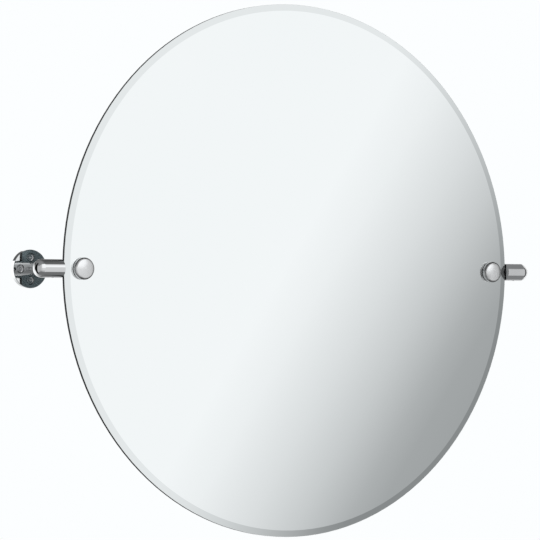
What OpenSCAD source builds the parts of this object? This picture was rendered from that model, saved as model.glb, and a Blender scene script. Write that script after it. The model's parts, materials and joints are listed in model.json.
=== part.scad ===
// Pivot wall mirror: a round bevelled mirror that tilts between two wall brackets.
// The wall is the plane y = 0, the front faces -Y, and the origin lies on the wall midway between the
// brackets at the height of the pivot.

/* [Mirror] */
// Diameter of the glass
mirror_d = 600; // [400:10:900]
// Thickness of the glass
glass_t = 5; // [4:0.5:8]
// Width of the bevel, measured along the face
bevel_w = 7.3; // [4:0.1:12]
// Depth the bevel drops at the edge
bevel_drop = 1.6; // [0.8:0.1:2.4]
// Thickness of the silver and paint behind the glass
backing_t = 0.3; // [0.2:0.05:0.6]
// How far the backing stops short of the glass edge
backing_margin = 1; // [0.5:0.5:4]
// Fixing hole centre, in from the glass edge
hole_inset = 22.5; // [18:0.5:40]
// Diameter of the fixing holes in the glass
glass_hole_d = 12; // [11:0.5:16]

/* [Clamp] */
// Diameter of the domed button
button_d = 24; // [20:0.5:32]
// Height of the button's straight side
button_side = 3.2; // [0.4:0.1:5]
// Round between the button's side and its domed face
button_corner_r = 2.2; // [0.4:0.1:2.8]
// Radius of the button's domed face
button_dome_r = 35; // [26:1:80]
// Diameter of the button's stem through the glass
stem_d = 8.6; // [8:0.1:9]
// Diameter of the clear front washer
front_washer_d = 21.5; // [16:0.5:24]
// Thickness of the clear front washer
front_washer_t = 0.8; // [0.5:0.1:2]
// Diameter of the rear washer
rear_washer_d = 16; // [14:0.5:24]
// Thickness of the rear washer
rear_washer_t = 1; // [0.5:0.1:3]
// Diameter of the clamp screw's shank
clamp_screw_d = 6; // [4:0.5:6]
// Diameter of the clamp screw's head
clamp_head_d = 10.5; // [9:0.5:14]
// Height of the clamp screw's head
clamp_head_h = 3.4; // [2.6:0.1:6]
// Across flats of the clamp screw's hexagon socket
clamp_socket = 4; // [3:0.5:5]
// Diameter of the lock washer
lock_washer_d = 11.5; // [10:0.5:15]
// Thickness of the lock washer
lock_washer_t = 1.4; // [0.8:0.1:2]

/* [Pivot] */
// Diameter of the spindle's journal
spindle_d = 8; // [7:0.5:10]
// The shank's flat, behind the pivot axis
flat_offset = 0.7; // [0:0.1:1]
// Diameter of the spindle's eye
eye_d = 16; // [13:0.5:24]
// Wall of the nylon bushes
bush_wall = 2; // [1:0.1:2.5]
// Width of the retaining groove in the journal
groove_w = 4.6; // [3.5:0.1:5]
// Depth of the retaining groove
groove_depth = 0.7; // [0.4:0.1:1.2]
// Diameter of the tension screw
tension_screw_d = 6; // [5.5:0.5:7]
// Length of the tension screw
tension_screw_len = 2.6; // [2:0.1:3]
// Across flats of the tension screw's hexagon socket
tension_socket = 3; // [2:0.5:3]

/* [Barrel] */
// Diameter of the barrel
barrel_d = 20; // [19:0.5:30]
// Length of the barrel
barrel_len = 33.5; // [31:0.5:50]
// Round between the barrel's side and its domed end
barrel_end_r = 9; // [2:0.5:9]
// Radius of the barrel's domed end, as a share of its diameter
barrel_dome = 0.6; // [0.55:0.05:1.5]
// Solid outer end of the barrel, beyond its bore
barrel_end_wall = 10.5; // [6:0.5:12]
// Chamfer on the barrel's inner end
barrel_chamfer = 0.2; // [0.1:0.1:1]
// Gap between the glass edge and the barrel
barrel_gap = 1; // [0.8:0.1:4]

/* [Wall bracket] */
// Distance from the wall to the pivot axis
axis_out = 50; // [40:0.5:90]
// Diameter of the wall flange
flange_d = 42; // [40:0.5:70]
// Thickness of the wall flange
flange_t = 5.5; // [5:0.1:10]
// Chamfer on the flange's front edge
flange_chamfer = 0.4; // [0.2:0.1:1.5]
// Diameter of the post
post_d = 14; // [13:0.5:14]
// Post axis, outwards from the barrel's inner end
post_inset = 12.5; // [11:0.5:14]
// Diameter of the post's spigot in the barrel wall
spigot_d = 8; // [6:0.5:9]
// Diameter of the post's spigot in the flange
base_spigot_d = 10; // [8:0.5:12]
// Depth of the post's spigot in the flange
base_spigot_len = 1.5; // [1:0.1:2]
// Diameter of the post screw
post_screw_d = 6; // [5:0.5:6]
// Head diameter of the post screw
post_head_d = 11; // [9.5:0.5:12]
// Length of the post screw
post_screw_len = 18; // [12:0.5:25]

/* [Wall screws] */
// Number of wall screws in each flange
wall_screw_count = 4; // [3:1:4]
// Diameter of the circle through the wall screws
screw_circle_d = 25; // [25:0.5:28]
// Shank diameter of the wall screws
wall_screw_d = 4.4; // [3.5:0.1:5]
// Head diameter of the wall screws
wall_head_d = 9; // [7.5:0.1:9]
// How far the wall screws reach into the wall
wall_screw_reach = 35; // [20:1:60]
// Length of the wall screws' point
wall_screw_point = 5; // [3:0.5:8]
// How deep the wall screws' heads are sunk below the face
head_sink = 0.8; // [0.4:0.1:1.2]
// How much the wall screws' plain necks stand out from their shanks
neck_step = 0.2; // [0.1:0.05:0.3]

/* [Fits] */
// Radial clearance of the turning journal in its bushes
running_fit = 0.05; // [0.02:0.01:0.1]
// Clearance of fixed pieces that are pushed together
push_fit = 0.02; // [0.01:0.01:0.05]
// Clearance round screws in plain holes
hole_fit = 0.3; // [0.1:0.05:0.5]
// Clearance of turning pieces that do not guide each other
free_fit = 0.3; // [0.2:0.05:0.5]

/* [Hidden] */
$fn = 96;

cut = 1;
mirror_r = mirror_d / 2;
hole_x = mirror_r - hole_inset;

// Distances from the wall of the stacked faces, front to back.
shank_face = axis_out - flat_offset;
backing_face = shank_face + rear_washer_t;
glass_back = backing_face + backing_t;
glass_front = glass_back + glass_t;
button_back = glass_front + front_washer_t;
button_h = button_side + dome_depth(button_d / 2, button_corner_r, button_dome_r);
eye_back = axis_out - spindle_d / 2;
eye_t = shank_face - eye_back;
head_seat = eye_back - lock_washer_t;

stem_len = button_back - shank_face - hole_fit;
thread_depth = stem_len + button_h / 2;
clamp_shank_len = shank_face - head_seat + stem_len - cut;

// The pivot, measured outwards along the axis from the barrel's inner end.
barrel_x = mirror_r + barrel_gap;
bore_depth = barrel_len - barrel_end_wall;
bush_bore_d = spindle_d + 2 * running_fit;
bush_d = bush_bore_d + 2 * bush_wall;
barrel_bore_d = bush_d + 2 * push_fit;
barrel_wall = (barrel_d - barrel_bore_d) / 2;
groove_r = spindle_d / 2 - groove_depth;
bush_land = 0.6;
bush_inner_start = free_fit;
bush_inner_len = post_inset - groove_w / 2 - bush_land - bush_inner_start;
bush_outer_start = post_inset + groove_w / 2 + bush_land;
bush_outer_len = bore_depth - free_fit - bush_outer_start;
journal_len = bore_depth - 2 * free_fit;
journal_chamfer = 0.6;

tension_screw_sink = 0.6;
tension_screw_out = barrel_d / 2 - tension_screw_sink;
pad_d = groove_w - hole_fit;
pad_top = tension_screw_out - tension_screw_len;

post_x = barrel_x + post_inset;
spigot_len = barrel_wall - hole_fit;
spigot_reach = sqrt(pow(barrel_d / 2, 2) - pow(spigot_d / 2, 2));
countersink_r = wall_head_d / 2 + hole_fit + push_fit;
neck_r = wall_screw_d / 2 + neck_step;
wall_hole_r = neck_r + hole_fit;
wall_head_rim = 0.3;
head_top = flange_t - head_sink - hole_fit + wall_head_rim;

// How far the top of a domed end stands above its straight side.
function dome_depth(r, corner_r, dome_r) = dome_r - sqrt(pow(dome_r - corner_r, 2) - pow(r - corner_r, 2));

// Turns a shape built upwards so that up becomes away from the wall.
module from_wall() rotate([90, 0, 0]) children();

// Puts a shape on the pivot axis, built upwards, so that up becomes outwards from the barrel's inner end.
module on_pivot() translate([barrel_x, -axis_out, 0]) rotate([0, 90, 0]) children();

// Puts a shape on a fixing hole's axis, at a distance from the wall.
module on_hole(distance) translate([hole_x, 0, 0]) from_wall() translate([0, 0, distance]) children();

// Puts a shape on the post's axis, at a distance from the wall.
module on_post(distance) translate([post_x, 0, 0]) from_wall() translate([0, 0, distance]) children();

// The right-hand bracket is drawn, and the left-hand one is its mirror image.
module right_side() children();
module left_side() mirror([1, 0, 0]) children();

module ring(outer_d, inner_d, height) {
    difference() {
        cylinder(d = outer_d, h = height);
        translate([0, 0, -cut]) cylinder(d = inner_d, h = height + 2 * cut);
    }
}

module hexagon_socket(across_flats, depth) {
    cylinder(d = across_flats / cos(30), h = depth, $fn = 6);
}

module mirror_glass() {
    arris = 0.3;
    color([0.86, 0.89, 0.89])
    difference() {
        from_wall() translate([0, 0, glass_back]) rotate_extrude($fn = 360) polygon([
            [0, 0],
            [mirror_r - arris, 0],
            [mirror_r, arris],
            [mirror_r, glass_t - bevel_drop],
            [mirror_r - bevel_w, glass_t],
            [0, glass_t]
        ]);
        for (side = [-1, 1])
            translate([side * hole_x, 0, 0]) from_wall() translate([0, 0, glass_back - cut])
                cylinder(d = glass_hole_d, h = glass_t + 2 * cut);
    }
}

module mirror_backing() {
    color([0.25, 0.28, 0.3])
    difference() {
        from_wall() translate([0, 0, backing_face])
            cylinder(r = mirror_r - backing_margin, h = backing_t, $fn = 360);
        for (side = [-1, 1])
            translate([side * hole_x, 0, 0]) from_wall() translate([0, 0, backing_face - cut])
                cylinder(d = glass_hole_d, h = backing_t + 2 * cut);
    }
}

module around_screws() {
    for (i = [0 : wall_screw_count - 1])
        rotate([0, 0, 90 + i * 360 / wall_screw_count]) translate([screw_circle_d / 2, 0, 0]) children();
}

module wall_flange() {
    land = flange_t - base_spigot_len - hole_fit;
    color([0.78, 0.79, 0.8])
    on_post(0) difference() {
        rotate_extrude() polygon([
            [0, 0],
            [flange_d / 2, 0],
            [flange_d / 2, flange_t - flange_chamfer],
            [flange_d / 2 - flange_chamfer, flange_t],
            [0, flange_t]
        ]);
        translate([0, 0, land]) cylinder(d = base_spigot_d + 2 * push_fit, h = flange_t);
        translate([0, 0, -cut]) cylinder(d = post_screw_d + hole_fit, h = flange_t + 2 * cut);
        translate([0, 0, -cut]) cylinder(r1 = post_head_d / 2 + cut + push_fit, r2 = 0,
                                         h = post_head_d / 2 + cut + push_fit);
        around_screws() {
            translate([0, 0, -cut]) cylinder(r = wall_hole_r, h = flange_t + 2 * cut);
            translate([0, 0, flange_t - head_sink]) cylinder(r = countersink_r, h = head_sink + cut);
            translate([0, 0, flange_t - head_sink - countersink_r]) cylinder(r1 = 0, r2 = countersink_r,
                                                                            h = countersink_r);
        }
    }
}

module cross_recess(width, span, depth) {
    for (turn = [0, 90])
        rotate([0, 0, turn]) translate([-span / 2, -width / 2, 0]) cube([span, width, depth]);
}

module wall_screws() {
    shank_r = wall_screw_d / 2;
    head_r = wall_head_d / 2;
    tip_r = 0.4;
    recess_depth = 1.4;
    recess_w = wall_screw_d * 0.22;
    recess_span = wall_head_d * 0.55;
    color([0.72, 0.73, 0.74])
    on_post(0) around_screws() difference() {
        rotate_extrude($fn = 48) polygon([
            [0, -wall_screw_reach],
            [tip_r, -wall_screw_reach],
            [shank_r, wall_screw_point - wall_screw_reach],
            [shank_r, 0],
            [neck_r, 0],
            [neck_r, head_top - wall_head_rim - head_r + neck_r],
            [head_r, head_top - wall_head_rim],
            [head_r, head_top],
            [0, head_top]
        ]);
        translate([0, 0, head_top - recess_depth])
            cross_recess(recess_w, recess_span, recess_depth + cut);
    }
}

module post() {
    color([0.78, 0.79, 0.8])
    difference() {
        union() {
            difference() {
                on_post(flange_t) cylinder(d = post_d, h = axis_out - flange_t);
                on_pivot() translate([0, 0, -cut])
                    cylinder(d = barrel_d + 2 * push_fit, h = barrel_len + 2 * cut);
            }
            on_post(flange_t) cylinder(d = spigot_d, h = axis_out - flange_t - barrel_d / 2 + spigot_len);
            on_post(flange_t - base_spigot_len) cylinder(d = base_spigot_d, h = base_spigot_len + cut);
        }
        on_post(0) cylinder(d = post_screw_d + 2 * push_fit, h = post_screw_len + cut);
    }
}

module post_screw() {
    head_r = post_head_d / 2;
    shank_r = post_screw_d / 2;
    socket = post_screw_d * 0.66;
    socket_depth = 1.8;
    color([0.6, 0.61, 0.62])
    on_post(0) difference() {
        rotate_extrude($fn = 48) polygon([
            [0, push_fit],
            [head_r - 2 * push_fit, push_fit],
            [shank_r, head_r - shank_r - push_fit],
            [shank_r, post_screw_len],
            [0, post_screw_len]
        ]);
        translate([0, 0, -cut]) hexagon_socket(socket, socket_depth + cut);
    }
}

// The outline of a turned bar with a domed end: straight side, round and dome run into each other.
module domed_bar_profile(r, length, corner_r, dome_r) {
    side = length - dome_depth(r, corner_r, dome_r);
    dome_foot_r = dome_r * (r - corner_r) / (dome_r - corner_r);
    square([r, side]);
    intersection() {
        translate([r - corner_r, side]) circle(r = corner_r);
        translate([dome_foot_r, 0]) square([r - dome_foot_r, length]);
    }
    intersection() {
        translate([0, length - dome_r]) circle(r = dome_r, $fn = 360);
        square([dome_foot_r, length]);
    }
}

module barrel() {
    r = barrel_d / 2;
    color([0.78, 0.79, 0.8])
    on_pivot() difference() {
        rotate_extrude() difference() {
            domed_bar_profile(r, barrel_len, barrel_end_r, barrel_dome * barrel_d);
            translate([r, 0]) rotate(45) square(barrel_chamfer * sqrt(2), center = true);
        }
        translate([0, 0, -cut]) cylinder(d = barrel_bore_d, h = bore_depth + cut);
        translate([0, 0, post_inset]) rotate([-90, 0, 0])
            cylinder(d = spigot_d + 2 * push_fit, h = r + cut);
        translate([0, 0, post_inset]) rotate([0, 90, 0])
            cylinder(d = tension_screw_d + 2 * push_fit, h = r + cut);
    }
}

module inner_bush() {
    color([0.16, 0.16, 0.17])
    on_pivot() translate([0, 0, bush_inner_start]) ring(bush_d, bush_bore_d, bush_inner_len);
}

module outer_bush() {
    color([0.16, 0.16, 0.17])
    on_pivot() translate([0, 0, bush_outer_start]) ring(bush_d, bush_bore_d, bush_outer_len);
}

module friction_pad() {
    pad_start = groove_r + running_fit;
    color([0.16, 0.16, 0.17])
    on_pivot() translate([0, 0, post_inset]) rotate([0, 90, 0]) translate([0, 0, pad_start])
        cylinder(d = pad_d, h = pad_top - pad_start);
}

module tension_screw() {
    socket_depth = tension_screw_len * 0.6;
    color([0.3, 0.3, 0.32])
    on_pivot() translate([0, 0, post_inset]) rotate([0, 90, 0]) difference() {
        translate([0, 0, pad_top]) cylinder(d = tension_screw_d, h = tension_screw_len);
        translate([0, 0, tension_screw_out - socket_depth])
            hexagon_socket(tension_socket, socket_depth + cut);
    }
}

module spindle() {
    r = spindle_d / 2;
    shoulder = barrel_gap - free_fit;
    color([0.7, 0.71, 0.72])
    difference() {
        union() {
            on_pivot() rotate_extrude() polygon([
                [0, -shoulder],
                [r, -shoulder],
                [r, post_inset - groove_w / 2],
                [groove_r, post_inset - groove_w / 2],
                [groove_r, post_inset + groove_w / 2],
                [r, post_inset + groove_w / 2],
                [r, journal_len - journal_chamfer],
                [r - journal_chamfer, journal_len],
                [0, journal_len]
            ]);
            difference() {
                on_pivot() translate([0, 0, -barrel_gap - hole_inset])
                    cylinder(r = r, h = hole_inset + barrel_gap);
                translate([0, -axis_out - spindle_d, -spindle_d])
                    cube([barrel_x - shoulder, spindle_d + flat_offset, 2 * spindle_d]);
            }
            on_hole(eye_back) cylinder(d = eye_d, h = eye_t);
        }
        on_hole(eye_back - cut) cylinder(d = clamp_screw_d + 2 * hole_fit, h = eye_t + 2 * cut);
    }
}

module button() {
    color([0.8, 0.81, 0.82])
    on_hole(button_back) difference() {
        union() {
            rotate_extrude() domed_bar_profile(button_d / 2, button_h, button_corner_r, button_dome_r);
            translate([0, 0, -stem_len]) cylinder(d = stem_d, h = stem_len + cut);
        }
        translate([0, 0, -stem_len - cut]) cylinder(d = clamp_screw_d + 2 * push_fit, h = thread_depth + cut);
    }
}

module front_washer() {
    color([0.9, 0.92, 0.92, 0.6])
    on_hole(glass_front) ring(front_washer_d, stem_d + 2 * hole_fit, front_washer_t);
}

module glass_sleeve() {
    color([0.9, 0.92, 0.92, 0.6])
    on_hole(backing_face) ring(glass_hole_d - 2 * push_fit, stem_d + 2 * push_fit, backing_t + glass_t);
}

module rear_washer() {
    color([0.3, 0.31, 0.32])
    on_hole(shank_face) ring(rear_washer_d, stem_d + 2 * hole_fit, rear_washer_t);
}

module lock_washer() {
    color([0.6, 0.61, 0.62])
    on_hole(head_seat) ring(lock_washer_d, clamp_screw_d + 2 * hole_fit, lock_washer_t);
}

module clamp_screw() {
    edge = 0.6;
    head_r = clamp_head_d / 2;
    shank_r = clamp_screw_d / 2;
    socket_depth = clamp_head_h * 0.65;
    color([0.6, 0.61, 0.62])
    on_hole(head_seat) difference() {
        rotate_extrude($fn = 64) polygon([
            [0, -clamp_head_h],
            [head_r - edge, -clamp_head_h],
            [head_r, edge - clamp_head_h],
            [head_r, 0],
            [shank_r, 0],
            [shank_r, clamp_shank_len],
            [0, clamp_shank_len]
        ]);
        translate([0, 0, -clamp_head_h - cut]) hexagon_socket(clamp_socket, socket_depth + cut);
    }
}

mirror_glass();
mirror_backing();
left_side() wall_flange();  // left_wall_flange
right_side() wall_flange();  // right_wall_flange
left_side() wall_screws();  // left_wall_screws
right_side() wall_screws();  // right_wall_screws
left_side() post();  // left_post
right_side() post();  // right_post
left_side() post_screw();  // left_post_screw
right_side() post_screw();  // right_post_screw
left_side() barrel();  // left_barrel
right_side() barrel();  // right_barrel
left_side() inner_bush();  // left_inner_bush
right_side() inner_bush();  // right_inner_bush
left_side() outer_bush();  // left_outer_bush
right_side() outer_bush();  // right_outer_bush
left_side() friction_pad();  // left_friction_pad
right_side() friction_pad();  // right_friction_pad
left_side() tension_screw();  // left_tension_screw
right_side() tension_screw();  // right_tension_screw
left_side() spindle();  // left_spindle
right_side() spindle();  // right_spindle
left_side() button();  // left_button
right_side() button();  // right_button
left_side() front_washer();  // left_front_washer
right_side() front_washer();  // right_front_washer
left_side() glass_sleeve();  // left_glass_sleeve
right_side() glass_sleeve();  // right_glass_sleeve
left_side() rear_washer();  // left_rear_washer
right_side() rear_washer();  // right_rear_washer
left_side() lock_washer();  // left_lock_washer
right_side() lock_washer();  // right_lock_washer
left_side() clamp_screw();  // left_clamp_screw
right_side() clamp_screw();  // right_clamp_screw
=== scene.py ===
import json
import math

import bmesh
import bpy
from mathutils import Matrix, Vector


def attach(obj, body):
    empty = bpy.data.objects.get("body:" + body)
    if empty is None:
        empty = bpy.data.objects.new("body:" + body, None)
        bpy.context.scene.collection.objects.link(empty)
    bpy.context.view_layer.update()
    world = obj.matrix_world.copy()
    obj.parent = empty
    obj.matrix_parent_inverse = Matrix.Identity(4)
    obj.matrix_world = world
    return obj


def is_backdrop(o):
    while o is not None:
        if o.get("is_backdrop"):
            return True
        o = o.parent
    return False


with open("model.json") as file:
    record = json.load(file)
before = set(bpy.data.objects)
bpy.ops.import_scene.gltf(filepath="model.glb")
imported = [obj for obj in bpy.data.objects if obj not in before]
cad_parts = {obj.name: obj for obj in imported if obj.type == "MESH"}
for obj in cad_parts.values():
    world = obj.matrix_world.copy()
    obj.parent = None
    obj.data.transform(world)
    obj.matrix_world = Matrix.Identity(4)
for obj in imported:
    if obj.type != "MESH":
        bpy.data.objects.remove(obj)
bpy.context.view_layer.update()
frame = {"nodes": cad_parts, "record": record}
NODES = frame["nodes"]
SIDES = (("left", -1), ("right", 1))

# Places in the frame, in metres.
POST_X = 0.3135
SCREW_CIRCLE_R = 0.0125
SCREW_ANGLES = (0, 90, 180, 270)
HOLE_X = 0.2775
GLASS_R = 0.3
BEVEL_W = 0.0073

# Keeps x and z only, so that a length is measured square to the Y axis.
SQUARE_TO_Y = (1.0, 0.0, 1.0)

# The plain background, a white that is a little blue.
BACKGROUND = (0.9734, 0.9911, 1.0, 1.0)


# ---------------------------------------------------------------- node helpers

class Tree:
    """Short calls for the nodes of a material or the world."""

    def __init__(self, owner):
        owner.use_nodes = True
        self.tree = owner.node_tree
        self.tree.nodes.clear()

    def node(self, kind, **values):
        made = self.tree.nodes.new(kind)
        for key, value in values.items():
            setattr(made, key, value)
        return made

    def put(self, socket, value):
        if isinstance(value, bpy.types.NodeSocket):
            self.tree.links.new(value, socket)
        else:
            socket.default_value = value

    def math(self, operation, *values, clamp=False):
        made = self.node("ShaderNodeMath", operation=operation, use_clamp=clamp)
        for socket, value in zip(made.inputs, values):
            self.put(socket, value)
        return made.outputs[0]

    def plus(self, a, b):
        return self.math("ADD", a, b)

    def minus(self, a, b):
        return self.math("SUBTRACT", a, b)

    def times(self, first, *others):
        for other in others:
            first = self.math("MULTIPLY", first, other)
        return first

    def vector(self, operation, *values):
        made = self.node("ShaderNodeVectorMath", operation=operation)
        for socket, value in zip(made.inputs, values):
            self.put(socket, value)
        scalar = operation in ("DOT_PRODUCT", "LENGTH", "DISTANCE")
        return made.outputs["Value" if scalar else "Vector"]

    def parts(self, vector):
        made = self.node("ShaderNodeSeparateXYZ")
        self.put(made.inputs[0], vector)
        return made.outputs

    def spread(self, value, low, high, to_low=0.0, to_high=1.0, smooth=False):
        """The value carried from low..high to to_low..to_high, and held at both ends."""
        made = self.node("ShaderNodeMapRange", interpolation_type="SMOOTHSTEP" if smooth else "LINEAR")
        for socket, x in zip(made.inputs, (value, low, high, to_low, to_high)):
            self.put(socket, x)
        return made.outputs[0]

    def mix(self, factor, a, b):
        made = self.node("ShaderNodeMix", data_type="RGBA")
        self.put(made.inputs["Factor"], factor)
        self.put(made.inputs[6], a)
        self.put(made.inputs[7], b)
        return made.outputs[2]

    def ramp(self, value, stops):
        made = self.node("ShaderNodeValToRGB")
        for at, _ in stops[1:-1]:
            made.color_ramp.elements.new(at)
        for element, (at, colour) in zip(made.color_ramp.elements, stops):
            element.position = at
            element.color = colour
        self.put(made.inputs[0], value)
        return made.outputs[0]

    def noise(self, coordinates, scale, detail=2.0, roughness=0.5):
        made = self.node("ShaderNodeTexNoise")
        self.put(made.inputs["Vector"], coordinates)
        self.put(made.inputs["Scale"], scale)
        self.put(made.inputs["Detail"], detail)
        self.put(made.inputs["Roughness"], roughness)
        return made.outputs["Fac"]

    def streaks(self, coordinates, scales, detail, roughness=0.5):
        """Noise with a scale of its own along each axis."""
        return self.noise(self.vector("MULTIPLY", coordinates, scales), 1.0, detail, roughness)

    def rings(self, distance, pitch, wobble):
        """A wave between 0 and 1 with one crest to each pitch, moved along by the wobble."""
        phase = self.plus(self.math("DIVIDE", distance, pitch), wobble)
        return self.spread(self.math("SINE", self.times(phase, math.tau)), -1.0, 1.0)

    def bump(self, height, distance, strength=1.0, under=None):
        made = self.node("ShaderNodeBump")
        self.put(made.inputs["Strength"], strength)
        self.put(made.inputs["Distance"], distance)
        self.put(made.inputs["Height"], height)
        if under is not None:
            self.put(made.inputs["Normal"], under)
        return made.outputs[0]

    def object_place(self):
        return self.node("ShaderNodeTexCoord").outputs["Object"]

    def glow(self, colour):
        made = self.node("ShaderNodeEmission")
        self.put(made.inputs["Color"], colour)
        return made.outputs[0]

    def clear(self):
        return self.node("ShaderNodeBsdfTransparent").outputs[0]

    def show(self, shader, output="ShaderNodeOutputMaterial"):
        self.put(self.node(output).inputs["Surface"], shader)

    def surface(self, **values):
        """Shows the Principled shader with these inputs; an underscore stands for a space in a name."""
        shader = self.node("ShaderNodeBsdfPrincipled")
        for key, value in values.items():
            self.put(shader.inputs[key.replace("_", " ")], value)
        self.show(shader.outputs[0])


def grey(r, g=None, b=None):
    return (r, r if g is None else g, r if b is None else b, 1.0)


def tinted(level, tint):
    return grey(*(level * part for part in tint))


def srgb(r, g, b):
    """The colour of a picture's values of 0 to 255, as light."""
    def one(v):
        v = v / 255
        return v / 12.92 if v <= 0.04045 else ((v + 0.055) / 1.055) ** 2.4
    return (one(r), one(g), one(b), 1.0)


def new_material(name):
    made = bpy.data.materials.new(name + "_look")
    return made, Tree(made)


# ---------------------------------------------------------------- object helpers

def add_object(name, data):
    made = bpy.data.objects.new(name, data)
    bpy.context.scene.collection.objects.link(made)
    return made


def add_mesh(name, bm, material):
    """A new object in the scene with the bmesh's shape, which is freed."""
    mesh = bpy.data.meshes.new(name)
    bm.to_mesh(mesh)
    bm.free()
    mesh.materials.append(material)
    return add_object(name, mesh)


def hide_from(thing, *rays):
    """Keeps these kinds of ray from meeting the thing."""
    for ray in rays:
        setattr(thing, "visible_" + ray, False)


def light_only(light, receivers):
    """Keeps a lamp or a glowing object from lighting anything but its receivers."""
    group = bpy.data.collections.new(light.name + "_receivers")
    for receiver in receivers:
        group.objects.link(receiver)
    light.light_linking.receiver_collection = group


# ---------------------------------------------------------------- materials

def plate_detail(t, place):
    """Polishing haze, the uneven roughness that goes with it, and the normal of hairline wiping marks."""
    unevenness = 0.05
    cloud_share = 0.4
    mark_depth, mark_strength = 2e-6, 0.35
    haze = t.noise(place, 60.0, 3.0)
    cloud = t.noise(place, 240.0, 4.0, 0.6)
    marks = t.streaks(place, (900.0, 90.0, 2600.0), 2.0, 0.6)
    height = t.plus(t.times(cloud, cloud_share), marks)
    return haze, t.times(haze, cloud, unevenness), t.bump(height, mark_depth, mark_strength)


def chrome(name, low, high, roughness):
    """Bright plate: faint polishing haze, hairline wiping marks and a little unevenness in the plate."""
    material, t = new_material(name)
    haze, uneven, marks = plate_detail(t, t.object_place())
    t.surface(
        Base_Color=t.mix(haze, low, high),
        Metallic=1.0,
        Roughness=t.plus(roughness, uneven),
        Normal=marks,
    )
    return material


def button_material():
    """Chrome with a satin face, a rounded corner with painted shade for most of the way round, and a soft
    side.
    """
    # In metres: how far from the button's centre line the satin fades out and the corner begins, and the y
    # between which the corner gives way to the straight side.
    satin_ends = (0.0094, 0.0103)
    corner_starts = (0.0098, 0.0102)
    corner_ends_y = (-0.0600, -0.0596)
    face_rough, side_rough = 0.22, 0.28
    # Painted shade: the corner's colour is darkened towards this tone, by up to this share.
    painted_corner_shade, painted_shade_depth = grey(0.12), 0.7
    # The way to the middle of the corner's stretch with the least painted shade: left and a little down.
    open_x, open_z = -0.92, -0.39
    least_r = 0.001
    material, t = new_material("chrome_button")
    place = t.object_place()
    x, y, z = t.parts(place)
    across = t.minus(x, t.times(t.math("SIGN", x), HOLE_X))
    radius = t.math("SQRT", t.plus(t.times(across, across), t.times(z, z)))
    haze, uneven, marks = plate_detail(t, place)
    colour = t.mix(haze, grey(0.70, 0.71, 0.715), grey(0.76, 0.77, 0.775))
    leftward = t.math("DIVIDE", t.plus(t.times(across, open_x), t.times(z, open_z)),
                      t.math("MAXIMUM", radius, least_r))
    # Painted shade: the corner is darkened in colour all round, least on its left, lower side.
    painted_shade_by_side = t.spread(leftward, 0.70, 0.95, 1.0, 0.25, smooth=True)
    corner = t.times(t.spread(radius, *corner_starts), t.spread(y, *corner_ends_y, 1.0, 0.0))
    colour = t.mix(t.times(corner, painted_shade_by_side, painted_shade_depth), colour, painted_corner_shade)
    satin = t.spread(radius, *satin_ends, 1.0, 0.0, smooth=True)
    rough = t.spread(satin, 0.0, 1.0, side_rough, face_rough)
    t.surface(Base_Color=colour, Metallic=1.0, Roughness=t.plus(rough, uneven), Normal=marks)
    return material


def mirror_material():
    """Silvered glass: bright face, a bevel painted slightly darker as shade, dark green-grey ground edge."""
    edge_band = 0.0008
    # The dark edge begins a hair in front of the bevel's foot, which is at y = -0.0540, and the furthest
    # in front of it on the left.
    left_x, left_y = -0.30, -0.05408
    right_x, right_y = -0.10, -0.05402
    material, t = new_material("mirror_glass")
    place = t.object_place()
    x, y, _ = t.parts(place)
    radius = t.vector("LENGTH", t.vector("MULTIPLY", place, SQUARE_TO_Y))
    on_rim = t.math("GREATER_THAN", radius, GLASS_R - edge_band)
    past_bevel = t.math("GREATER_THAN", y, t.spread(x, left_x, right_x, left_y, right_y))
    on_edge = t.times(on_rim, past_bevel)
    on_bevel = t.math("GREATER_THAN", radius, GLASS_R - BEVEL_W)
    smear = t.noise(place, 5.0, 3.0)
    dust = t.noise(place, 420.0, 5.0, 0.7)
    grain = t.streaks(place, (300.0, 4000.0, 300.0), 3.0)
    face = t.mix(smear, srgb(246, 249, 249), srgb(248, 250, 250))
    # Painted shade: the bevel's colour is a little darker than the face's.
    bevel_with_painted_shade = t.mix(smear, srgb(231, 234, 234), srgb(233, 236, 236))
    edge = t.mix(grain, srgb(12, 17, 17), srgb(24, 31, 30))
    t.surface(
        Base_Color=t.mix(on_edge, t.mix(on_bevel, face, bevel_with_painted_shade), edge),
        Metallic=t.minus(1.0, on_edge),
        Roughness=t.plus(t.times(on_edge, 0.6), t.times(dust, 0.006)),
        Normal=t.bump(t.times(grain, on_edge), 2e-5, 0.4),
    )
    return material


def backing_material():
    """Protective paint behind the silver: dark slate, orange peel, roller streaks and a few specks."""
    material, t = new_material("backing_paint")
    place = t.object_place()
    cloud = t.noise(place, 9.0, 5.0, 0.6)
    peel = t.noise(place, 650.0, 2.0)
    streak = t.streaks(place, (6.0, 1.0, 140.0), 3.0)
    specks = t.spread(t.noise(place, 1500.0, 1.0), 0.69, 0.74, 0.0, 0.35)
    tone = t.mix(cloud, srgb(74, 87, 90), srgb(90, 104, 108))
    tone = t.mix(t.times(streak, 0.35), tone, srgb(60, 71, 75))
    tone = t.mix(specks, tone, srgb(150, 160, 164))
    t.surface(
        Base_Color=tone,
        Roughness=t.spread(cloud, 0.3, 0.7, 0.42, 0.55),
        Normal=t.bump(t.plus(peel, streak), 3e-5, 0.35),
    )
    return material


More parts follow.
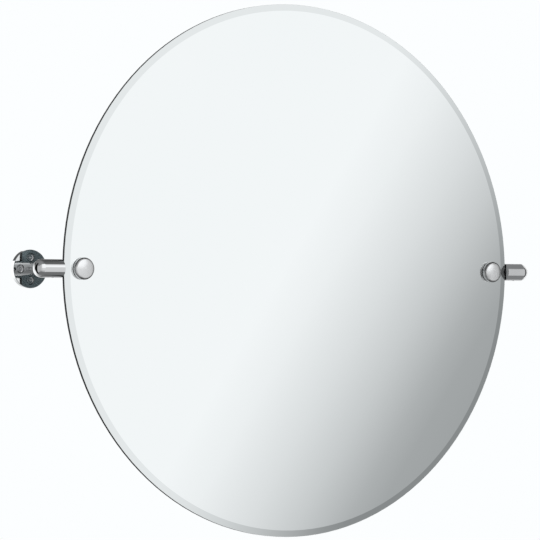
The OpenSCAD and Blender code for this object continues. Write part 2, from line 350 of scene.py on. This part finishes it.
def turned_steel(name, dark, light, roughness, centres, dished=False):
    """Steel with fine turning rings round the nearest of the centres, seen along Y.

    A dished head has a rolled rim, a painted shadow line outside it and a hollow at its middle.
    """
    pitch = 0.00028
    rim_rises = (0.0028, 0.0040)
    painted_shadow_starts = (0.0039, 0.0042)
    hollow_r = 0.0013
    rim_height, hollow_height, dish_depth = 0.6, 0.55, 1e-3
    material, t = new_material(name)
    place = t.object_place()
    flat_place = t.vector("MULTIPLY", place, SQUARE_TO_Y)
    nearest = None
    for centre in centres:
        distance = t.vector("DISTANCE", flat_place, centre)
        nearest = distance if nearest is None else t.math("MINIMUM", nearest, distance)
    wobble = t.noise(place, 900.0, 3.0)
    rings = t.rings(nearest, pitch, wobble)
    stain = t.noise(place, 130.0, 4.0, 0.6)
    colour = t.mix(stain, dark, light)
    normal = t.bump(t.plus(rings, wobble), 6e-6, 0.5)
    if dished:
        rim = t.spread(nearest, *rim_rises)
        hollow = t.spread(nearest, 0.0, hollow_r)
        dish = t.plus(t.times(rim, rim_height), t.times(hollow, hollow_height))
        normal = t.bump(dish, dish_depth, 1.0, normal)
        # Painted shadow: the colour turns nearly black from just outside the rim to the head's edge.
        colour = t.mix(t.spread(nearest, *painted_shadow_starts, 0.0, 0.85), colour, grey(0.05))
    t.surface(
        Base_Color=colour,
        Metallic=1.0,
        Roughness=t.plus(roughness, t.times(t.plus(rings, stain), 0.08)),
        Normal=normal,
    )
    return material


def bar_steel(name, dark, light, roughness):
    """Stainless bar with fine turning rings along the pivot's axis."""
    pitch = 0.0003
    material, t = new_material(name)
    place = t.object_place()
    rings = t.rings(t.parts(place)[0], pitch, t.noise(place, 700.0, 3.0))
    stain = t.noise(place, 110.0, 4.0, 0.6)
    t.surface(
        Base_Color=t.mix(stain, dark, light),
        Metallic=1.0,
        Roughness=t.plus(roughness, t.times(t.plus(rings, stain), 0.09)),
        Normal=t.bump(rings, 5e-6, 0.5),
    )
    return material


def plated_steel(name, dark, light, roughness):
    """Zinc or oxide coat: spangle, stains and a slightly pitted skin."""
    material, t = new_material(name)
    place = t.object_place()
    spangle = t.node("ShaderNodeTexVoronoi")
    t.put(spangle.inputs["Vector"], place)
    t.put(spangle.inputs["Scale"], 900.0)
    stain = t.noise(place, 240.0, 4.0, 0.6)
    mixed = t.math("MULTIPLY", t.plus(spangle.outputs["Distance"], stain), 0.5, clamp=True)
    t.surface(
        Base_Color=t.mix(mixed, dark, light),
        Metallic=1.0,
        Roughness=t.plus(roughness, t.times(stain, 0.18)),
        Normal=t.bump(stain, 1e-5, 0.4),
    )
    return material


def nylon_material():
    """Black bearing nylon: cloudy, with fine flow lines along the pivot."""
    material, t = new_material("nylon")
    place = t.object_place()
    cloud = t.noise(place, 160.0, 4.0)
    t.surface(
        Base_Color=t.mix(cloud, srgb(24, 24, 26), srgb(46, 46, 48)),
        Roughness=t.spread(cloud, 0.3, 0.7, 0.38, 0.52),
        Normal=t.bump(t.streaks(place, (500.0, 2500.0, 2500.0), 2.0), 1e-5, 0.4),
    )
    return material


def rubber_material():
    """Black rubber with a dry grain and a pale bloom."""
    material, t = new_material("rubber_gasket")
    place = t.object_place()
    grain = t.noise(place, 2600.0, 3.0)
    t.surface(
        Base_Color=t.mix(t.noise(place, 190.0, 4.0), srgb(38, 38, 40), srgb(62, 62, 64)),
        Roughness=t.spread(grain, 0.3, 0.7, 0.62, 0.85),
        Normal=t.bump(grain, 1.5e-5, 0.5),
    )
    return material


def gasket_material():
    """Clear soft plastic, a little cloudy, that passes some of the light behind it."""
    material, t = new_material("clear_gasket")
    cloud = t.noise(t.object_place(), 320.0, 3.0)
    t.surface(
        Base_Color=t.mix(cloud, srgb(120, 126, 127), srgb(140, 146, 146)),
        Roughness=t.spread(cloud, 0.3, 0.7, 0.12, 0.26),
        Transmission_Weight=0.6,
        IOR=1.45,
        Normal=t.bump(cloud, 1e-5, 0.3),
    )
    return material


def screw_centre(side, angle):
    """Where a wall screw's axis meets the wall plane."""
    turn = math.radians(angle)
    return Vector((side * POST_X + SCREW_CIRCLE_R * math.cos(turn), 0.0, SCREW_CIRCLE_R * math.sin(turn)))


screw_centres = [screw_centre(side, angle) for _, side in SIDES for angle in SCREW_ANGLES]
hole_centres = [Vector((side * HOLE_X, 0.0, 0.0)) for _, side in SIDES]
post_centres = [Vector((side * POST_X, 0.0, 0.0)) for _, side in SIDES]

looks = {
    "mirror_glass": mirror_material(),
    "backing_paint": backing_material(),
    "chrome_flange": chrome("chrome_flange", grey(0.62, 0.635, 0.64), grey(0.68, 0.695, 0.70), 0.012),
    "chrome_post": chrome("chrome_post", grey(0.64, 0.65, 0.655), grey(0.70, 0.71, 0.715), 0.02),
    "chrome_barrel": chrome("chrome_barrel", grey(0.66, 0.67, 0.675), grey(0.72, 0.73, 0.735), 0.03),
    "chrome_button": button_material(),
    "wall_screw_steel": turned_steel(
        "wall_screw_steel", grey(0.52, 0.53, 0.54), grey(0.68, 0.69, 0.70), 0.08, screw_centres,
        dished=True),
    "screw_steel": turned_steel(
        "screw_steel", grey(0.45, 0.46, 0.47), grey(0.62, 0.63, 0.64), 0.24, hole_centres + post_centres),
    "spindle_steel": bar_steel("spindle_steel", grey(0.50, 0.51, 0.52), grey(0.64, 0.65, 0.66), 0.16),
    "zinc_steel": plated_steel("zinc_steel", grey(0.48, 0.50, 0.52), grey(0.66, 0.67, 0.68), 0.22),
    "black_steel": plated_steel("black_steel", grey(0.030, 0.030, 0.033), grey(0.075, 0.075, 0.08), 0.34),
    "nylon": nylon_material(),
    "clear_gasket": gasket_material(),
    "rubber_gasket": rubber_material(),
}

for part in frame["record"]["subparts"]:
    mesh = NODES[part["node"]].data
    mesh.materials.clear()
    mesh.materials.append(looks[part["material_slot"]])


# ---------------------------------------------------------------- screw threads

def thread_ridge(name, side, angle):
    """The helical ridge of a wood screw, wound on its plain shank from just inside the wall to its point."""
    shank_r = 0.0022
    tip_r = 0.0004
    point_len = 0.005
    # How far into the wall the ridge starts, the screw's point starts and the ridge ends.
    start, point, end = 0.0040, 0.0300, 0.0346
    # The ridge's shape: its height, how deep its root is sunk, and half its width at the root and the crest.
    height, sunk = 0.00055, 0.00012
    root_half, crest_half = 0.00042, 0.00007
    pitch = 0.0020
    steps_a_turn = 20
    # It grows from nothing at the start, and dies away to a little at the end, in a turn and a half. Its
    # root keeps a part of its width all the way.
    fade_steps = 1.5 * steps_a_turn
    end_fade = 0.15
    least_width = 0.4

    turns = (end - start) / pitch
    count = int(turns * steps_a_turn)
    centre = screw_centre(side, angle)
    bm = bmesh.new()
    rows = []
    for i in range(count + 1):
        y = start + (end - start) * i / count
        turn = math.tau * i / steps_a_turn
        core = shank_r if y < point else shank_r + (tip_r - shank_r) * (y - point) / point_len
        fade = min(1.0, i / fade_steps, end_fade + (count - i) / fade_steps)
        root, crest = core - sunk, core + height * fade
        out = Vector((math.cos(turn), 0, math.sin(turn)))
        half = root_half * (least_width + (1 - least_width) * fade)
        profile = ((root, -half), (crest, -crest_half), (crest, crest_half), (root, half))
        rows.append([bm.verts.new(centre + out * r + Vector((0, y + dy, 0))) for r, dy in profile])
    for a, b in zip(rows, rows[1:]):
        for j in range(4):
            k = (j + 1) % 4
            bm.faces.new((a[j], a[k], b[k], b[j]))
    bm.faces.new(rows[0][::-1])
    bm.faces.new(rows[-1])
    bmesh.ops.recalc_face_normals(bm, faces=bm.faces)
    ridge = add_mesh(name, bm, looks["wall_screw_steel"])
    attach(ridge, "wall_brackets")


for side_name, side in SIDES:
    for number, angle in enumerate(SCREW_ANGLES, 1):
        thread_ridge(f"{side_name}_wall_screw_thread_{number}", side, angle)


# ---------------------------------------------------------------- camera, floor, world

# The camera, in degrees, metres and millimetres.
CAMERA_TARGET = Vector((0, -0.0495, 0))
CAMERA_AZIMUTH = -34.16
CAMERA_ELEVATION = -0.73
CAMERA_DISTANCE = 3.692
LENS = 218.07
SENSOR_W = 36
# The target falls a little right of the picture's middle and below it, in pixels of the picture's width.
PICTURE_W = 540
TARGET_RIGHT_PX = 21.98
TARGET_DOWN_PX = 0.5

azimuth = math.radians(CAMERA_AZIMUTH)
elevation = math.radians(CAMERA_ELEVATION)
back = Vector((math.sin(azimuth) * math.cos(elevation),
               -math.cos(azimuth) * math.cos(elevation),
               math.sin(elevation)))
look = -back
right = look.cross(Vector((0, 0, 1))).normalized()
up = right.cross(look)
aim_left = TARGET_RIGHT_PX / PICTURE_W * SENSOR_W / LENS
aim_up = TARGET_DOWN_PX / PICTURE_W * SENSOR_W / LENS
aim = (look - right * aim_left + up * aim_up).normalized()

camera_data = bpy.data.cameras.new("camera")
camera_data.sensor_width = SENSOR_W
camera_data.lens = LENS
camera_data.clip_start = 0.1
camera_data.clip_end = 60
camera = add_object("camera", camera_data)
camera.location = CAMERA_TARGET + back * CAMERA_DISTANCE
camera.rotation_mode = "QUATERNION"
camera.rotation_quaternion = aim.to_track_quat("-Z", "Y")
bpy.context.scene.camera = camera

# The floor reaches from the wall plane out into the room.
FLOOR_HALF = 3.0
FLOOR_Z = -0.95
floor_look, t = new_material("floor")
t.surface(
    Base_Color=t.mix(t.noise(t.object_place(), 3.0, 4.0), grey(0.86, 0.87, 0.87), grey(0.90, 0.905, 0.905)),
    Roughness=0.9,
)
bm = bmesh.new()
bmesh.ops.create_grid(bm, x_segments=1, y_segments=1, size=FLOOR_HALF)
bmesh.ops.translate(bm, verts=bm.verts, vec=(0, -FLOOR_HALF, 0))
floor = add_mesh("floor", bm, floor_look)
floor.location = (0, 0, FLOOR_Z)
hide_from(floor, "glossy")
floor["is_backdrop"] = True

# The studio is plain white where the camera looks and for soft light, and black in reflections. What the
# pieces reflect comes from the five domes further down.
world = bpy.data.worlds.new("studio")
bpy.context.scene.world = world
t = Tree(world)
in_reflections = t.node("ShaderNodeLightPath").outputs["Is Glossy Ray"]
background = t.node("ShaderNodeBackground")
t.put(background.inputs["Color"], t.mix(in_reflections, BACKGROUND, grey(0.0)))
t.put(background.inputs["Strength"], 1.0)
t.show(background.outputs[0], "ShaderNodeOutputWorld")


# ---------------------------------------------------------------- what the mirror reflects

# A direction as the mirror turns it round.
MIRRORED = Vector((1, -1, 1))
# How far the middle of the shading lies left of and below the view's mirror image, as parts of one.
SHADE_LEFT = 0.00483
SHADE_DOWN = 0.01014
# Across the shading, from its light side to its dark one: the place and the tone there, of 255.
MIRROR_TONES = ((-0.005, 245), (0.01, 238), (0.03, 220), (0.045, 201.5), (0.06, 175.5), (0.068, 165),
                (0.08, 161))
# The tones are a little blue: what is added to each for red, green and blue.
TONE_TINT = (-3, 1, 2)
SILVER = srgb(247, 249.5, 249.5)


def mirror_light(t, place):
    """Flat light on the left and above, shading off towards the lower right, and fanning out further off."""
    # The way across the shading turns from the near angle to the far one.
    near_angle, far_angle = math.radians(30), math.radians(35.5)
    far_shift = 0.006
    fan_starts = 0.093
    least_distance = 0.001
    sideways = t.plus(t.vector("DOT_PRODUCT", place, tuple(right * MIRRORED)), SHADE_LEFT)
    upwards = t.plus(t.vector("DOT_PRODUCT", place, tuple(up * MIRRORED)), SHADE_DOWN)
    distance = t.math("SQRT", t.plus(t.times(sideways, sideways), t.times(upwards, upwards)))
    far = t.spread(distance, 0.1, 0.35, smooth=True)
    angle = t.spread(far, 0.0, 1.0, near_angle, far_angle)
    across = t.minus(t.times(sideways, t.math("COSINE", angle)), t.times(upwards, t.math("SINE", angle)))
    fan = t.math("MINIMUM", 1.0, t.math("DIVIDE", fan_starts, t.math("MAXIMUM", distance, least_distance)))
    across = t.minus(t.times(across, fan), t.times(far, far_shift))
    first, last = MIRROR_TONES[0][0], MIRROR_TONES[-1][0]
    stops = []
    for at, tone in MIRROR_TONES:
        seen = srgb(*(tone + part for part in TONE_TINT))
        stops.append(((at - first) / (last - first), grey(*(s / g for s, g in zip(seen[:3], SILVER[:3])))))
    gradient = t.ramp(t.spread(across, first, last), stops)
    deeper = t.minus(1.0, t.times(far, t.spread(across, 0.060, 0.075, 0.0, 0.19)))
    # A dark stretch of the studio on the far left, seen through the bevel beside the right barrel.
    gap = t.times(t.spread(sideways, -0.85, -0.79, 0.0, 0.66, smooth=True),
                  t.spread(sideways, -0.68, -0.62, 1.0, 0.0, smooth=True))
    # Past the bevel's own reach the studio is dark overhead and below.
    high = t.spread(t.math("ABSOLUTE", upwards), 0.50, 0.62, 0.0, 0.75, smooth=True)
    kept = t.times(t.minus(1.0, gap), t.minus(1.0, high))
    # Beyond that stretch is a grey side of the room, darker higher up, which the buttons' sides see by way
    # of the glass.
    beside = t.spread(sideways, -0.88, -0.82, 1.0, 0.0, smooth=True)
    grey_side = t.spread(upwards, 0.02, 0.26, 0.58, 0.88, smooth=True)
    kept = t.times(kept, t.minus(1.0, t.times(beside, grey_side)))
    return t.vector("MULTIPLY", gradient, t.times(deeper, kept))


# ---------------------------------------------------------------- what the chrome reflects

# Brightness round the horizon: degrees counter-clockwise from +X, level.
LEFT_ROUND = ((-180, 0.66), (-164, 0.62), (-150, 0.63), (-136, 0.66), (-122, 0.76), (-108, 0.88),
              (-95, 0.92), (-60, 0.86), (-44, 0.78), (-28, 0.70), (-24, 0.17), (10, 0.17), (18, 0.8),
              (75, 0.85), (95, 1.35), (128, 1.4), (134, 0.4), (139, 0.005), (170, 0.005), (176, 0.5),
              (180, 0.66))
RIGHT_ROUND = ((-180, 0.30), (-150, 0.12), (-136, 0.09), (-124, 0.14), (-110, 0.60), (-95, 0.88),
               (-60, 0.80), (-52, 0.71), (-28, 0.64), (-24, 0.17), (10, 0.17), (18, 1.0), (120, 1.0),
               (128, 0.45), (138, 0.05), (155, 0.02), (170, 0.3), (180, 0.30))
WALL_ROUND = ((-180, 0.60), (-150, 0.44), (-122, 0.56), (-100, 0.58), (-84, 0.9), (-60, 1.15), (-44, 0.95),
              (-28, 0.70), (-20, 0.5), (0, 0.6), (30, 1.0), (60, 1.05), (95, 1.3), (108, 1.65), (135, 1.65),
              (150, 0.85), (170, 0.6), (180, 0.60))
BAND_TINT = (1.0, 1.005, 1.01)
SHADE_TINT = (1.0, 1.01, 1.02)
PANEL_COLOUR = grey(1.32, 1.33, 1.34)
# How high above and how low below the horizon the band reaches where nothing else says so.
BAND_TOP = 0.33
BAND_BOTTOM = 0.30


def left_tip(t, place, degrees, result):
    """What only the left barrel's rounded end sees: the bright wall, dim higher up, and a black gap."""
    z = t.parts(place)[2]
    wall_side = t.times(t.spread(degrees, 66, 98), t.spread(degrees, 140, 147, 1.0, 0.0))
    dim = t.times(t.spread(z, 0.05, 0.42), t.spread(z, 0.50, 0.58, 1.0, 0.0))
    result = t.mix(t.times(wall_side, dim), result, grey(0.10))
    bright = t.mix(t.spread(z, -0.92, -0.50), grey(0.40), grey(1.35))
    result = t.mix(t.times(wall_side, t.spread(z, -0.35, -0.10, 1.0, 0.0)), result, bright)
    gap = t.times(t.spread(degrees, 143, 151), t.spread(degrees, 171, 178, 1.0, 0.0))
    short = t.spread(t.math("ABSOLUTE", z), 0.72, 0.85, 0.95, 0.0)
    return t.mix(t.times(gap, short), result, grey(0.0))


def right_tip(t, place, degrees, result):
    """What only the right barrel's rounded end sees: a dark gap, then the bright wall behind."""
    x, _, z = t.parts(place)
    tall = t.math("ABSOLUTE", z)
    corner = t.times(t.spread(x, 0.63, 0.66), t.spread(tall, 0.40, 0.48))
    end = t.math("MAXIMUM", corner, t.spread(x, 0.66, 0.76, smooth=True))
    behind = t.times(t.spread(degrees, -18, -12, smooth=True),
                     t.spread(tall, 0.7, 0.8, 1.0, 0.0, smooth=True))
    return t.mix(t.times(end, 0.93), result, t.mix(behind, grey(0.07), grey(1.15)))


def chrome_light(round_levels, reach_over, reach_under, over_front, over_back, under_level, panel=None,
                 over_side=0.0, far_left_over=0.6, far_left_under=BAND_BOTTOM,
                 low_shade=(-0.35, -0.05, 0.45), tip=None):
    """A band of light round the horizon, with shade above and below it.

    round_levels -- how bright the band is, round the horizon
    reach_over, reach_under -- how far up and down the band reaches in front, as a slope
    far_left_over, far_left_under -- how far up and down it reaches on the far left
    over_front, over_back -- how bright the shade above is, in front and behind
    over_side -- how much brighter it is on the left
    under_level -- how bright the shade below is
    panel -- the degrees between which a bright panel above the horizon begins, if there is one
    low_shade -- front left, the height where a dark patch is full, where it ends, and how deep it is
    tip -- what a barrel's rounded end sees instead, if it sees anything of its own
    """
    def light(t, place):
        x, y, z = t.parts(place)
        degrees = t.times(t.math("ARCTAN2", y, x), 180 / math.pi)
        stops = [((at + 180) / 360, tinted(level, BAND_TINT)) for at, level in round_levels]
        band = t.ramp(t.spread(degrees, -180, 180), stops)
        if panel:
            # The panel's right edge leans to the right higher up.
            leaning = t.minus(degrees, t.spread(z, 0.15, 0.3, 0.0, 12.0, smooth=True))
            sides = t.times(t.spread(degrees, *panel, smooth=True),
                            t.spread(leaning, -70, -60, 1.0, 0.0, smooth=True))
            on_panel = t.times(sides, t.spread(z, 0.02, 0.14, smooth=True))
            band = t.mix(on_panel, band, PANEL_COLOUR)
        front_left = t.times(t.spread(degrees, -170, -140, smooth=True),
                             t.spread(degrees, -76, -62, 1.0, 0.0, smooth=True))
        band = t.mix(t.times(front_left, t.spread(z, *low_shade, 0.0, smooth=True)), band, grey(0.0))

        band_top = t.math("MAXIMUM", t.times(y, -reach_over),
                          t.spread(x, -0.6, -0.3, far_left_over, BAND_TOP))
        band_bottom = t.math("MAXIMUM", t.times(y, -reach_under),
                             t.spread(x, -0.6, -0.3, far_left_under, BAND_BOTTOM))
        over = t.spread(t.minus(z, band_top), -0.01, 0.06, smooth=True)
        # The band's lower edge is much softer behind than in front.
        under = t.math("DIVIDE", t.minus(t.times(z, -1.0), band_bottom), t.spread(y, 0.0, 0.3, 0.06, 0.5),
                       clamp=True)

        over_level = t.spread(y, -0.5, 0.7, over_front, over_back)
        if over_side:
            over_level = t.plus(over_level, t.spread(x, -0.1, 0.4, over_side, 0.0, smooth=True))
        shade = t.node("ShaderNodeCombineXYZ")
        for socket, part in zip(shade.inputs, SHADE_TINT):
            t.put(socket, t.times(over_level, part))
        result = t.mix(over, band, shade.outputs[0])
        result = t.mix(under, result, tinted(under_level, SHADE_TINT))
        return tip(t, place, degrees, result) if tip else result
    return light


# ---------------------------------------------------------------- domes, lamp, wall

def dome(name, radius, receivers, colour_of):
    """A sphere round the scene that glows and is clear, seen only in the reflections of its receivers."""
    material, t = new_material(name)
    both = t.node("ShaderNodeAddShader")
    t.put(both.inputs[0], t.glow(colour_of(t, t.vector("NORMALIZE", t.object_place()))))
    t.put(both.inputs[1], t.clear())
    t.show(both.outputs[0])
    material.cycles.emission_sampling = "NONE"
    bm = bmesh.new()
    bmesh.ops.create_uvsphere(bm, u_segments=64, v_segments=32, radius=radius)
    made = add_mesh(name, bm, material)
    hide_from(made, "camera", "diffuse", "transmission", "shadow")
    light_only(made, receivers)
    made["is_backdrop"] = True


glass = NODES["mirror_glass"]
right_barrel = NODES["right_barrel"]
shown = [o for o in bpy.context.scene.objects if o.type == "MESH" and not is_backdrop(o) and o is not glass]
by_wall = [o for o in shown if any(word in o.name for word in ("flange", "post", "wall_screw"))]
off_wall = [o for o in shown if o not in by_wall]
left_and_middle = [o for o in off_wall if not o.name.startswith("right_")]
right_inner = [o for o in off_wall if o.name.startswith("right_") and o is not right_barrel]

dome("mirror_dome", 20.0, [glass], mirror_light)
dome("wall_dome", 21.0, by_wall, chrome_light(
    WALL_ROUND, reach_over=1.11, reach_under=1.11, over_front=0.18, over_back=0.14, under_level=0.25))
dome("left_dome", 22.0, left_and_middle, chrome_light(
    LEFT_ROUND, reach_over=1.25, reach_under=0.94, over_front=0.18, over_back=0.08, under_level=0.22,
    panel=(-126, -108), over_side=0.15, far_left_over=0.42, far_left_under=0.62,
    low_shade=(-0.75, -0.25, 0.5), tip=left_tip))
dome("right_dome", 23.0, [right_barrel], chrome_light(
    RIGHT_ROUND, reach_over=1.0, reach_under=0.98, over_front=0.28, over_back=0.28, under_level=0.28,
    panel=(-104, -94), tip=right_tip))
dome("right_inner_dome", 24.0, right_inner, chrome_light(
    RIGHT_ROUND, reach_over=0.65, reach_under=0.98, over_front=0.28, over_back=0.28, under_level=0.28,
    panel=(-104, -94)))

# A soft lamp behind the glass by the left bracket: the flange shows the back lighter there.
lamp_data = bpy.data.lights.new("back_lamp", "SPOT")
lamp_data.energy = 0.6
lamp_data.spot_size = math.radians(13)
lamp_data.spot_blend = 1.0
lamp_data.shadow_soft_size = 0.004
lamp = add_object("back_lamp", lamp_data)
lamp.location = (-0.303, 0.10, 0.020)
lamp.rotation_euler = (math.radians(-90), 0, 0)
light_only(lamp, [NODES["mirror_backing"]])
lamp.light_linking.blocker_collection = bpy.data.collections.new("back_lamp_blockers")

# The wall's face hides what is in the wall from the front, and is clear from behind. It reaches only a
# little past the brackets, so that seen from the side its near end doesn't stand in front of the screws.
WALL_HALF_W = 0.42
WALL_HALF_H = 0.10
wall_look, t = new_material("wall")
sided = t.node("ShaderNodeMixShader")
t.put(sided.inputs[0], t.node("ShaderNodeNewGeometry").outputs["Backfacing"])
t.put(sided.inputs[1], t.glow(BACKGROUND))
t.put(sided.inputs[2], t.clear())
t.show(sided.outputs[0])
wall_look.cycles.emission_sampling = "NONE"
bm = bmesh.new()
bmesh.ops.create_grid(bm, x_segments=1, y_segments=1, size=1.0)
wall = add_mesh("wall", bm, wall_look)
wall.rotation_euler = (math.radians(90), 0, 0)
wall.scale = (WALL_HALF_W, WALL_HALF_H, 1)
hide_from(wall, "glossy", "diffuse", "transmission", "shadow")
wall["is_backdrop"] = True

bpy.context.scene.view_settings.view_transform = "Standard"
